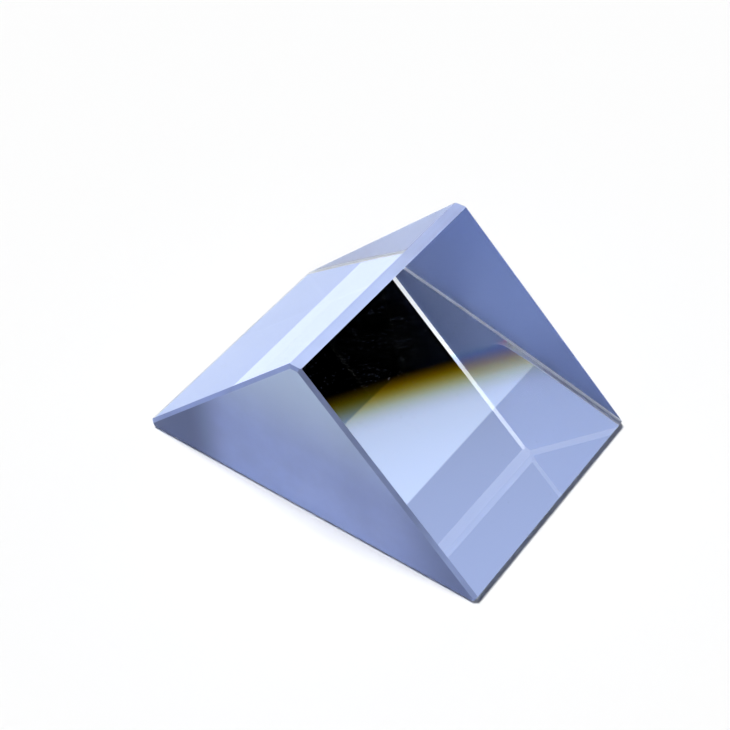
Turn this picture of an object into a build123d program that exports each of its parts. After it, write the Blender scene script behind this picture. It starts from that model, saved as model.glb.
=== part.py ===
from build123d import *
import math
import os

# Right angle prism: one block of clear optical glass, lying on its hypotenuse face.
#
# Frame, in millimetres: the origin is the middle of the hypotenuse face, where the block rests.
# X runs across the triangle, from one acute edge to the other. Y runs along the block, from one
# ground end to the other. Z points up, from the hypotenuse face to the right angle edge.

# Driving sizes of the block
LEG = 32.0                    # width of each leg face, before its edges are bevelled
LENGTH = 30.0                 # from one ground end to the other
RIGHT_ANGLE = 90.0            # between the two leg faces, in degrees

# Protective bevels on the long edges, each measured as the setback along a polished face
ROOF_SETBACK = 1.0            # on the right angle edge
ACUTE_SETBACK = 1.1           # on the two acute edges

# Protective bevels round each ground end, measured the same way
END_LEG_SETBACK = 0.4         # where the end meets a leg face
END_BASE_SETBACK = 0.25       # where the end meets the hypotenuse face
END_TIP_SETBACK = 0.3         # where the end meets the bevel of a long edge

# Sizes that follow from the ones above
half_angle = math.radians(RIGHT_ANGLE / 2)
half_base = LEG * math.sin(half_angle)
apex_height = LEG * math.cos(half_angle)
half_length = LENGTH / 2


def end_sides(block):
    """The sides of both end faces of a block that is being made."""
    ends = block.faces().filter_by(Axis.Y)
    return ends.edges()


def is_base_side(edge):
    """True for the side of an end face that lies against the hypotenuse face."""
    return edge.length > LEG / 2 and abs(edge.center().Z) < END_LEG_SETBACK


def is_leg_side(edge):
    """True for a side of an end face that lies against a leg face."""
    return edge.length > LEG / 2 and not is_base_side(edge)


def is_tip_side(edge):
    """True for a short side of an end face, at the bevel of a long edge."""
    return edge.length < LEG / 2


with BuildPart() as glass_prism:
    # The polished outline: the right angle on top, its three corners cut back by the long bevels
    with BuildSketch(Plane.XZ) as outline:
        with BuildLine():
            Polyline((-half_base, 0), (half_base, 0), (0, apex_height), close=True)
        make_face()
        corners = outline.vertices().sort_by(Axis.Y)
        chamfer(corners[-1], length=ROOF_SETBACK)
        chamfer(corners[:2], length=ACUTE_SETBACK)
    extrude(amount=half_length, both=True)

    # Both ends are ground flat, and every side of them is broken by its own narrow bevel
    chamfer(end_sides(glass_prism).filter_by(is_leg_side), length=END_LEG_SETBACK)
    chamfer(end_sides(glass_prism).filter_by(is_base_side), length=END_BASE_SETBACK)
    chamfer(end_sides(glass_prism).filter_by(is_tip_side), length=END_TIP_SETBACK)

glass_prism.part.label = "glass_prism"

os.makedirs("parts", exist_ok=True)
export_step(glass_prism.part, "parts/glass_prism.step")
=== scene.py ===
"""A right angle prism of clear optical glass, lying on its hypotenuse face on a pale floor.

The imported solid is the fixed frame. One piece is dressed over it: a merged copy of the solid
whose faces wear the finish that the workshop gave them, polished, finely ground or bevelled.
Lengths are in metres and angles in degrees. X runs across the triangle, Y along the block from
the near ground end to the far one, and Z up to the right angle edge.
"""
import logging
from dataclasses import dataclass
from enum import Enum
from math import cos, radians, sin

import bmesh
import bpy
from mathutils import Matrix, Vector


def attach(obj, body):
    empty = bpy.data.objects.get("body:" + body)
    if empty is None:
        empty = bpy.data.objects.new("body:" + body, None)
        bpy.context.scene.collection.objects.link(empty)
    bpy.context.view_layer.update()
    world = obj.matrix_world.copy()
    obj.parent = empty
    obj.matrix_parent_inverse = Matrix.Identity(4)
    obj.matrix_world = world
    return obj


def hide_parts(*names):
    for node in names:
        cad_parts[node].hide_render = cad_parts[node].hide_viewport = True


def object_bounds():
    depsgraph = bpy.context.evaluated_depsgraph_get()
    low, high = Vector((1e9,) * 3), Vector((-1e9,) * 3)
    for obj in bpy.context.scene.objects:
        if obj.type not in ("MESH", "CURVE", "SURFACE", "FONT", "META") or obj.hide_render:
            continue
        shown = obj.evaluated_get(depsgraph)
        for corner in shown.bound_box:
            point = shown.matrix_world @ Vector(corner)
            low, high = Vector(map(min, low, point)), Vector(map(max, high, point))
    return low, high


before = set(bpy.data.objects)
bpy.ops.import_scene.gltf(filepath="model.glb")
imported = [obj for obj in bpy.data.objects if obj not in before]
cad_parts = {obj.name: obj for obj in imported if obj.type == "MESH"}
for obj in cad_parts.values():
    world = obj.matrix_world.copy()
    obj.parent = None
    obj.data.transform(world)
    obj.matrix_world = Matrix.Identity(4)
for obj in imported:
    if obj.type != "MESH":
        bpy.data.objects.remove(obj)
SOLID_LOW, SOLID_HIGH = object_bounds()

log = logging.getLogger("right_angle_prism")

MM = 0.001
LEG_SLOPE = radians(45)

Colour = tuple[float, float, float]
WHITE: Colour = (1.0, 1.0, 1.0)
BLACK: Colour = (0.0, 0.0, 0.0)
RED: Colour = (1.0, 0.0, 0.0)
ORANGE: Colour = (1.0, 0.5, 0.0)
YELLOW: Colour = (1.0, 1.0, 0.0)
CYAN: Colour = (0.0, 1.0, 1.0)
BLUE: Colour = (0.0, 0.0, 1.0)


def scaled(colour: Colour, tone: float) -> Colour:
    """A colour made deeper or paler, with no part above 1."""
    return tuple(min(1.0, tone * part) for part in colour)


class Face(Enum):
    """The kinds of surface on the block, each with the place of its finish on the piece."""

    LEG = 0
    HYPOTENUSE = 1
    END = 2
    LONG_BEVEL = 3
    END_BEVEL = 4

    @staticmethod
    def of(normal: Vector) -> "Face":
        """Tells the kind of a flat face from the way it points.

        Args:
            normal: Unit normal, pointing out of the glass.

        Returns:
            The kind of surface.
        """
        fully, hardly = 0.995, 0.005
        if -normal.z > fully:
            return Face.HYPOTENUSE
        if abs(normal.y) > fully:
            return Face.END
        along_leg_normal = abs(normal.x) * sin(LEG_SLOPE) + normal.z * cos(LEG_SLOPE)
        if along_leg_normal > fully:
            return Face.LEG
        return Face.END_BEVEL if abs(normal.y) > hardly else Face.LONG_BEVEL


@dataclass(frozen=True)
class Step:
    """Where a smooth step is half way up, and how far it reaches to either side of that."""

    middle: float
    reach: float


class Value:
    """One shader number, which Python's operators turn into Math nodes."""

    def __init__(self, bench: "Bench", socket: bpy.types.NodeSocket) -> None:
        """Holds a socket and the bench that adds nodes behind it."""
        self.bench = bench
        self.socket = socket

    def _maths(self, operation: str, *values: object) -> "Value":
        """Adds one Math node and returns its result."""
        node = self.bench.add("ShaderNodeMath", {"operation": operation}, dict(enumerate(values)))
        return Value(self.bench, node.outputs[0])

    def __sub__(self, other: object) -> "Value":
        """This value less another."""
        return self._maths("SUBTRACT", self, other)

    def __rsub__(self, other: object) -> "Value":
        """Another value less this one."""
        return self._maths("SUBTRACT", other, self)

    def __mul__(self, other: object) -> "Value":
        """Product of two values."""
        return self._maths("MULTIPLY", self, other)

    __rmul__ = __mul__

    def __truediv__(self, other: object) -> "Value":
        """This value divided by another."""
        return self._maths("DIVIDE", self, other)

    def __abs__(self) -> "Value":
        """Size of the value without its sign."""
        return self._maths("ABSOLUTE", self)

    def beyond(self, least: float) -> "Value":
        """What the value has above a least amount, stretched so that 1 stays 1."""
        return self._maths("MAXIMUM", (self - least) / (1 - least), 0.0)

    def above(self, step: Step) -> "Value":
        """A smooth step that rises from 0 to 1 as the value grows.

        Args:
            step: Where it rises.

        Returns:
            The step, from 0 to 1.
        """
        low, high = step.middle - step.reach, step.middle + step.reach
        limits = {"Value": self, "From Min": low, "From Max": high}
        node = self.bench.add("ShaderNodeMapRange", {"interpolation_type": "SMOOTHSTEP"}, limits)
        return Value(self.bench, node.outputs[0])


class Bench:
    """A node tree under construction, on which one method adds every node."""

    # How far the edge of a grain is blurred, as a share of its radius
    SOFT_RIM = 1 / 3
    # Places of the colours on a Mix node, where several sockets have the same name
    FIRST_COLOUR = 6
    SECOND_COLOUR = 7
    MIXED_COLOUR = 2

    def __init__(self, tree: bpy.types.NodeTree) -> None:
        """Empties the tree and keeps it."""
        self.tree = tree
        tree.nodes.clear()

    @classmethod
    def of_material(cls, name: str) -> tuple["Bench", bpy.types.Material]:
        """Makes a new material with an empty node tree.

        Args:
            name: What the finish is called.

        Returns:
            The bench and the material.
        """
        material = bpy.data.materials.new(name)
        material.use_nodes = True
        return cls(material.node_tree), material

    def add(self, kind: str, settings: dict | None = None, inputs: dict | None = None) -> bpy.types.Node:
        """Adds a node, sets it up and joins what it takes in.

        Args:
            kind: The node's type name.
            settings: Its own settings, set before the inputs.
            inputs: Numbers, colours, values, sockets or nodes for its inputs, by name or place.

        Returns:
            The new node.
        """
        node = self.tree.nodes.new(kind)
        for name, setting in (settings or {}).items():
            setattr(node, name, setting)
        for name, given in (inputs or {}).items():
            target = node.inputs[name]
            if isinstance(given, Value):
                given = given.socket
            if isinstance(given, bpy.types.Node):
                given = given.outputs[0]
            if isinstance(given, bpy.types.NodeSocket):
                self.tree.links.new(given, target)
            elif isinstance(given, tuple) and len(target.default_value) > len(given):
                target.default_value = (*given, 1.0)
            else:
                target.default_value = given
        return node

    def mix(self, share: object, first: bpy.types.Node, second: bpy.types.Node) -> bpy.types.Node:
        """Blends two shaders.

        Args:
            share: How much of the second shows, from 0 to 1.
            first: Shader shown where the share is 0.
            second: Shader shown where the share is 1.

        Returns:
            The Mix Shader node.
        """
        return self.add("ShaderNodeMixShader", inputs={0: share, 1: first, 2: second})

    def both(self, first: bpy.types.Node, second: bpy.types.Node) -> bpy.types.Node:
        """Adds two shaders together."""
        return self.add("ShaderNodeAddShader", inputs={0: first, 1: second})

    def passed(self, colour: Colour, index: float) -> bpy.types.Node:
        """Light of one colour that a polished face lets through and bends."""
        return self.add("ShaderNodeBsdfRefraction", inputs={
            "Color": colour, "Roughness": 0.0, "IOR": index})

    def mirrored(self, colour: Colour) -> bpy.types.Node:
        """Light of one colour that a polished face mirrors sharply."""
        return self.add("ShaderNodeBsdfGlossy", inputs={"Color": colour, "Roughness": 0.0})

    def glare(self, index: float) -> Value:
        """The share of the light that a bare polished face mirrors, by its slant and index."""
        return Value(self, self.add("ShaderNodeFresnel", inputs={"IOR": index}).outputs[0])

    def blend(self, share: object, first: object, second: object) -> bpy.types.NodeSocket:
        """Blends two colours.

        Args:
            share: How much of the second shows, from 0 to 1.
            first: Colour shown where the share is 0.
            second: Colour shown where the share is 1.

        Returns:
            The blended colour.
        """
        colours = {self.FIRST_COLOUR: first, self.SECOND_COLOUR: second}
        node = self.add("ShaderNodeMix", {"data_type": "RGBA"}, {0: share, **colours})
        return node.outputs[self.MIXED_COLOUR]

    def tinted(self, colour: object, tint: object) -> bpy.types.NodeSocket:
        """Multiplies two colours.

        Args:
            colour: The colour that is tinted.
            tint: What it is tinted with, where white changes nothing.

        Returns:
            The tinted colour.
        """
        settings = {"data_type": "RGBA", "blend_type": "MULTIPLY"}
        colours = {self.FIRST_COLOUR: colour, self.SECOND_COLOUR: tint}
        return self.add("ShaderNodeMix", settings, {0: 1.0, **colours}).outputs[self.MIXED_COLOUR]

    def place(self) -> tuple[Value, Value, Value]:
        """Reads the point on the object.

        Returns:
            Its X, Y and Z in metres.
        """
        spot = self.add("ShaderNodeTexCoord").outputs["Object"]
        parts = self.add("ShaderNodeSeparateXYZ", inputs={0: spot})
        return tuple(Value(self, out) for out in parts.outputs)

    def noise(self, size: float, detail: float, roughness: float = 0.5) -> Value:
        """An even random pattern on the object.

        Args:
            size: How far apart its spots are, in metres.
            detail: How many finer patterns lie over the first.
            roughness: How strong the finer patterns are.

        Returns:
            The pattern, mostly between 0.3 and 0.7.
        """
        spot = self.add("ShaderNodeTexCoord").outputs["Object"]
        node = self.add("ShaderNodeTexNoise", inputs={
            "Vector": spot, "Scale": 1 / size, "Detail": detail, "Roughness": roughness})
        return Value(self, node.outputs[0])

    def specks(self, apart: float, radius: float) -> Value:
        """Small round grains strewn over the object.

        Args:
            apart: How far apart they lie, in metres.
            radius: How large the largest is, as a share of that distance.

        Returns:
            1 on a grain and 0 beside it.
        """
        spot = self.add("ShaderNodeTexCoord").outputs["Object"]
        cells = self.add("ShaderNodeTexVoronoi", inputs={"Vector": spot, "Scale": 1 / apart})
        rim = Step(radius, radius * self.SOFT_RIM)
        return 1 - Value(self, cells.outputs["Distance"]).above(rim)

    def steepness(self) -> Value:
        """1 where the surface is seen head on, falling to 0 at a grazing angle."""
        plain = self.add("ShaderNodeLayerWeight", inputs={"Blend": 0.5})
        return 1 - Value(self, plain.outputs["Facing"])

    def inside(self) -> Value:
        """1 where the surface is seen from within the glass, and 0 from outside."""
        return Value(self, self.add("ShaderNodeNewGeometry").outputs["Backfacing"])

    def finish(self, surface: bpy.types.Node, output: str = "ShaderNodeOutputMaterial") -> None:
        """Joins the last shader to the output."""
        self.add(output, inputs={"Surface": surface})


@dataclass(frozen=True)
class OpticalGlass:
    """The glass itself, a colourless crown glass whose bending differs a little with colour."""

    index_red: float = 1.5143
    index_green: float = 1.5160
    index_blue: float = 1.5196
    tint: Colour = (0.975, 0.985, 1.0)


@dataclass(frozen=True)
class LegFace:
    """The polished finish of the two leg faces, whose thin coating takes most of the glare away."""

    glass: OpticalGlass = OpticalGlass()
    glare_removed: float = 0.036
    glare_colour: Colour = (0.92, 0.96, 1.0)
    dust_colour: Colour = (0.30, 0.33, 0.42)
    dust_apart: float = 1.7 * MM
    dust_radius: float = 0.035
    dust_share: float = 0.35

    def material(self) -> bpy.types.Material:
        """Makes the polished leg finish, with a few grains of dust on its outer side.

        Returns:
            The finished material.
        """
        bench, made = Bench.of_material("polished_leg_face")
        glare = bench.glare(self.glass.index_green).beyond(self.glare_removed)
        passed = bench.passed(self.glass.tint, self.glass.index_green)
        clear = bench.mix(glare, passed, bench.mirrored(self.glare_colour))
        dust = bench.add("ShaderNodeBsdfDiffuse", inputs={"Color": self.dust_colour})
        grains = bench.specks(self.dust_apart, self.dust_radius)
        share = grains * self.dust_share * (1 - bench.inside())
        bench.finish(bench.mix(share, clear, dust))
        return made


@dataclass(frozen=True)
class MirrorFace:
    """The hypotenuse face, where steep light leaves and shallow light is totally reflected.

    Red light is let through up to a shallower angle than blue, so the border between the two is
    a warm fringe. The light that leaves is made of a white, a yellow and a red part, and each
    mirrors the colours that it lacks. The dust lies towards the left acute edge.
    """

    glass: OpticalGlass = OpticalGlass()
    just_over: float = 1.0001
    dust_colour: Colour = (0.50, 0.40, 0.30)
    dust_apart: float = 0.45 * MM
    dust_radius: float = 0.16
    dust_share: float = 0.24
    dust_end: Step = Step(1.0 * MM, 3.0 * MM)
    smear_size: float = 3.5 * MM
    smear_detail: float = 3.0
    smear: Step = Step(0.54, 0.10)

    def material(self) -> bpy.types.Material:
        """Makes the polished hypotenuse finish, with the dust that sticks to its underside.

        Returns:
            The finished material.
        """
        bench, made = Bench.of_material("polished_hypotenuse_face")
        glass = self.glass
        red, green, blue = map(bench.glare, (glass.index_red, glass.index_green, glass.index_blue))
        white_leaves = bench.passed(WHITE, glass.index_red)
        yellow_leaves = bench.both(bench.passed(YELLOW, glass.index_red), bench.mirrored(BLUE))
        red_leaves = bench.both(bench.passed(RED, glass.index_red), bench.mirrored(CYAN))
        # Where all light is mirrored, red, green and blue are 1, so each is taken from just over 1
        warm = bench.mix((blue - green) / (self.just_over - green), white_leaves, yellow_leaves)
        leaving = bench.mix((green - red) / (self.just_over - red), warm, red_leaves)
        clear = bench.mix(red, leaving, bench.mirrored(WHITE))
        dust = bench.add("ShaderNodeBsdfTranslucent", inputs={"Color": self.dust_colour})
        smear = bench.noise(self.smear_size, self.smear_detail).above(self.smear)
        x, _, _ = bench.place()
        gathered = smear * (1 - x.above(self.dust_end))
        share = bench.specks(self.dust_apart, self.dust_radius) * gathered * self.dust_share
        bench.finish(bench.mix(share, clear, dust))
        return made


@dataclass(frozen=True)
class GroundFace:
    """A finely ground surface, which blurs the light that it lets through and scatters the rest.

    Seen from outside, a share of it is plain chalk. Seen from within the glass, a share of it
    glows like milk with the light that falls on it from outside.
    """

    name: str
    outside: Colour
    inside: Colour
    chalk: Colour
    chalk_share: float
    milk_share: float
    roughness: float
    index: float = 1.518
    grain_size: float = 0.16 * MM
    grain_depth: float = 0.004 * MM
    grain_detail: float = 3.0
    grain_roughness: float = 0.6
    relief_strength: float = 0.5
    smudge_size: float = 5.0 * MM
    smudge_detail: float = 4.0
    smudge: Step = Step(0.5, 0.25)
    clean_tone: float = 0.9

    def shaded(self, bench: Bench, colour: Colour) -> bpy.types.NodeSocket:
        """Varies a colour a little by faint smudges.

        Args:
            bench: Where the nodes are added.
            colour: The colour of a smudge.

        Returns:
            The varied colour.
        """
        smudge = bench.noise(self.smudge_size, self.smudge_detail).above(self.smudge)
        return bench.blend(smudge, scaled(colour, self.clean_tone), colour)

    def material(self) -> bpy.types.Material:
        """Makes the ground finish.

        Returns:
            The finished material.
        """
        bench, made = Bench.of_material(self.name)
        within = bench.inside()
        grain = bench.noise(self.grain_size, self.grain_detail, self.grain_roughness)
        relief = bench.add("ShaderNodeBump", inputs={
            "Strength": self.relief_strength, "Distance": self.grain_depth, "Height": grain})
        colour = bench.blend(within, self.shaded(bench, self.outside), self.inside)
        frosted = bench.add("ShaderNodeBsdfGlass", inputs={
            "Color": colour, "Roughness": self.roughness, "IOR": self.index, "Normal": relief})
        chalk = self.shaded(bench, self.chalk)
        chalky = bench.add("ShaderNodeBsdfDiffuse", inputs={"Color": chalk, "Normal": relief})
        milky = bench.add("ShaderNodeBsdfTranslucent", inputs={"Color": self.inside})
        outer = bench.mix(self.chalk_share, frosted, chalky)
        inner = bench.mix(self.milk_share, frosted, milky)
        bench.finish(bench.mix(within, outer, inner))
        return made


@dataclass(frozen=True)
class GroundEnd(GroundFace):
    """A triangular end: painted light, paler near the right angle; painted shade, deeper at the thin
    corners.
    """

    # Painted light makes the end paler higher up; painted shade makes it deeper towards each thin corner
    painted_light_top: Step = Step(14.0 * MM, 7.0 * MM)
    painted_light_tone: float = 1.5
    painted_shade_left_corner: Step = Step(12.5 * MM, 3.5 * MM)
    painted_shade_left_tone: float = 0.48
    painted_shade_right_corner: Step = Step(15.0 * MM, 5.0 * MM)
    painted_shade_right_tone: float = 0.6

    def shaded(self, bench: Bench, colour: Colour) -> bpy.types.NodeSocket:
        """Varies a colour by smudges, and paints light higher up and shade towards the corners.

        Args:
            bench: Where the nodes are added.
            colour: The colour of a smudge.

        Returns:
            The varied colour.
        """
        x, _, z = bench.place()
        body = super().shaded(bench, colour)
        # Painted light higher up, painted shade towards the left and right thin corners
        painted_light_top = z.above(self.painted_light_top)
        left = (0.0 - x).above(self.painted_shade_left_corner)
        right = x.above(self.painted_shade_right_corner)
        paler = bench.blend(painted_light_top, body, scaled(colour, self.painted_light_tone))
        deeper = bench.blend(left, paler, scaled(colour, self.painted_shade_left_tone))
        return bench.blend(right, deeper, scaled(colour, self.painted_shade_right_tone))


@dataclass
class PrismBlock:
    """The whole block of glass, dressed face by face."""

    name: str = "prism_block"
    node: str = "glass_prism"
    body: str = "root"
    slot: str = "optical_glass"
    merge_within: float = 0.001 * MM
    flat_within: float = 1.0
    leg_finish: LegFace = LegFace()
    mirror_finish: MirrorFace = MirrorFace()
    # The ends' outer and chalk colours carry painted light and painted shade, as GroundEnd varies them
    end_finish: GroundEnd = GroundEnd(
        name="ground_end", outside=(0.90, 0.95, 1.0), inside=(0.45, 0.55, 0.86),
        chalk=(0.38, 0.48, 0.95), chalk_share=0.70, milk_share=0.0, roughness=0.55)
    long_bevel_finish: GroundFace = GroundFace(
        name="ground_long_bevel", outside=(0.85, 0.92, 1.0), inside=(0.92, 0.96, 1.0),
        chalk=(0.62, 0.69, 0.95), chalk_share=0.5, milk_share=0.5, roughness=0.5)
    end_bevel_finish: GroundFace = GroundFace(
        name="ground_end_bevel", outside=(0.50, 0.60, 0.92), inside=(0.96, 0.98, 1.0),
        chalk=(0.38, 0.45, 0.70), chalk_share=0.4, milk_share=0.45, roughness=0.5)

    def merged_copy(self) -> bpy.types.Mesh:
        """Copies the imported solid, merges its flat faces and sorts them by kind.

        Returns:
            The new mesh.
        """
        mesh = bpy.data.meshes.new(self.name)
        shape = bmesh.new()
        shape.from_mesh(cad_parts[self.node].data)
        bmesh.ops.remove_doubles(shape, verts=shape.verts, dist=self.merge_within)
        bmesh.ops.dissolve_limit(
            shape, angle_limit=radians(self.flat_within), verts=shape.verts, edges=shape.edges)
        for face in shape.faces:
            face.smooth = False
            face.material_index = Face.of(face.normal).value
        shape.to_mesh(mesh)
        shape.free()
        return mesh

    def dress(self, mesh: bpy.types.Mesh) -> None:
        """Gives the mesh one material for each kind of face, in the order of Face.

        Args:
            mesh: The merged copy of the solid.
        """
        finishes = {
            Face.LEG: self.leg_finish,
            Face.HYPOTENUSE: self.mirror_finish,
            Face.END: self.end_finish,
            Face.LONG_BEVEL: self.long_bevel_finish,
            Face.END_BEVEL: self.end_bevel_finish,
        }
        for kind in Face:
            mesh.materials.append(finishes[kind].material())

    def build(self) -> bpy.types.Object:
        """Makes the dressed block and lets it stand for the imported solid.

        Returns:
            The finished piece.
        """
        mesh = self.merged_copy()
        self.dress(mesh)
        piece = bpy.data.objects.new(self.name, mesh)
        bpy.context.scene.collection.objects.link(piece)
        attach(piece, self.body)
        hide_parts(self.node)
        return piece


@dataclass
class Studio:
    """The plain pale floor, the lamp above it and the dark room round it.

    Under the glass lies a rectangle of table that glows with painted light, because the lamp's light
    doesn't reach the floor through the glass. Its two blues are painted light through one leg face
    each, and its pale stripe along the middle is painted light where the light through both overlaps.
    """

    floor_side: float = 6.0
    floor_gap: float = 0.1 * MM
    floor_colour: Colour = (0.88, 0.88, 0.88)
    table_gap: float = 0.05 * MM
    table_inset: float = 0.6 * MM
    left_light_colour: Colour = (0.32, 0.46, 0.92)
    right_light_colour: Colour = (0.42, 0.52, 0.86)
    stripe_light_colour: Colour = (0.74, 0.90, 1.30)
    stripe_half_width: float = 6.7 * MM
    stripe_blur: float = 0.15 * MM
    red_fades: Step = Step(0.14, 0.08)
    green_fades: Step = Step(0.137, 0.04)
    blue_fades: Step = Step(0.155, 0.05)
    sun_strength: float = 3.6
    sun_angle: float = 20.0
    sun_direction: tuple[float, float, float] = (-0.25, -0.04, 0.97)
    glow_ends: Step = Step(0.11, 0.06)

    def plane(self, name: str, half_x: float, half_y: float, height: float) -> bpy.types.Object:
        """Makes a flat rectangle that belongs to the studio.

        Args:
            name: Its name.
            half_x: Half its width.
            half_y: Half its length.
            height: How high it lies.

        Returns:
            The flat object.
        """
        mesh = bpy.data.meshes.new(name)
        shape = bmesh.new()
        bmesh.ops.create_grid(shape, x_segments=1, y_segments=1, size=1.0)
        bmesh.ops.scale(shape, vec=(half_x, half_y, 1.0), verts=shape.verts)
        bmesh.ops.translate(shape, vec=(0.0, 0.0, height), verts=shape.verts)
        shape.to_mesh(mesh)
        shape.free()
        made = bpy.data.objects.new(name, mesh)
        bpy.context.scene.collection.objects.link(made)
        return made

    def build_floor(self) -> None:
        """Lays the floor."""
        half = self.floor_side / 2
        floor = self.plane("floor", half, half, -self.floor_gap)
        bench, made = Bench.of_material("pale_floor")
        bench.finish(bench.add("ShaderNodeBsdfDiffuse", inputs={"Color": self.floor_colour}))
        floor.data.materials.append(made)

    def build_table(self) -> None:
        """Lays the lit rectangle of table that shows through the glass.

        Its light fades where it is seen at a grazing angle, blue before green and red last. So
        the border of the dark area in the glass is soft as well as warm.
        """
        half_x, half_y = (side - self.table_inset for side in SOLID_HIGH[:2])
        table = self.plane("table_under_glass", half_x, half_y, -self.table_gap)
        bench, made = Bench.of_material("table_lit_through_glass")
        x, _, _ = bench.place()
        # Painted light: a pale stripe where the light through both leg faces overlaps, a blue on either
        # side
        beside_stripe = abs(x).above(Step(self.stripe_half_width, self.stripe_blur))
        to_the_right = x.above(Step(0.0, self.stripe_half_width))
        steepness = bench.steepness()
        sides = bench.blend(to_the_right, self.left_light_colour, self.right_light_colour)
        colour = bench.blend(beside_stripe, self.stripe_light_colour, sides)
        cool = bench.blend(steepness.above(self.blue_fades), YELLOW, WHITE)
        fringe = bench.blend(steepness.above(self.green_fades), ORANGE, cool)
        lit = bench.add("ShaderNodeEmission", inputs={"Color": bench.tinted(colour, fringe)})
        dark = bench.add("ShaderNodeEmission", inputs={"Color": BLACK})
        bench.finish(bench.mix(steepness.above(self.red_fades), dark, lit))
        table.data.materials.append(made)

    def build_lamp(self) -> None:
        """Hangs one soft lamp overhead."""
        light = bpy.data.lights.new("overhead_light", "SUN")
        light.energy = self.sun_strength
        light.angle = radians(self.sun_angle)
        lamp = bpy.data.objects.new("overhead_light", light)
        lamp.rotation_euler = Vector(self.sun_direction).to_track_quat("Z", "Y").to_euler()
        bpy.context.scene.collection.objects.link(lamp)

    def build_room(self) -> None:
        """Makes the room white round the floor and dark higher up."""
        world = bpy.data.worlds.new("dark_room")
        bpy.context.scene.world = world
        world.use_nodes = True
        bench = Bench(world.node_tree)
        way = bench.add("ShaderNodeTexCoord").outputs["Generated"]
        height = Value(bench, bench.add("ShaderNodeSeparateXYZ", inputs={0: way}).outputs["Z"])
        glow = bench.add("ShaderNodeBackground", inputs={"Color": WHITE})
        dark = bench.add("ShaderNodeBackground", inputs={"Color": BLACK})
        bench.finish(bench.mix(height.above(self.glow_ends), glow, dark), "ShaderNodeOutputWorld")

    def build(self) -> None:
        """Builds the whole studio."""
        self.build_floor()
        self.build_table()
        self.build_lamp()
        self.build_room()


@dataclass(frozen=True)
class Viewpoint:
    """The camera, where the fit to the prism's outline and inner lines puts it."""

    lens: float = 84.96
    clip_start: float = 1.0 * MM
    place: tuple[float, float, float] = (77.53 * MM, -104.44 * MM, 143.28 * MM)
    turn: tuple[float, float, float] = (44.217, 1.651, 35.810)

    def build(self) -> None:
        """Adds the camera and makes it the scene's own."""
        data = bpy.data.cameras.new("camera")
        data.lens = self.lens
        data.clip_start = self.clip_start
        camera = bpy.data.objects.new("camera", data)
        camera.location = self.place
        camera.rotation_euler = [radians(angle) for angle in self.turn]
        bpy.context.scene.collection.objects.link(camera)
        bpy.context.scene.camera = camera


def main() -> None:
    """Builds the camera, the block and the studio, and logs the block's faces and finishes."""
    logging.basicConfig(level=logging.INFO, format="%(name)s: %(message)s")
    Viewpoint().build()
    piece = PrismBlock().build()
    log.info("%s: %d faces, %d finishes", piece.name, len(piece.data.polygons), len(Face))
    Studio().build()
    bpy.context.scene.view_settings.view_transform = "Standard"


if __name__ == "__main__":
    main()
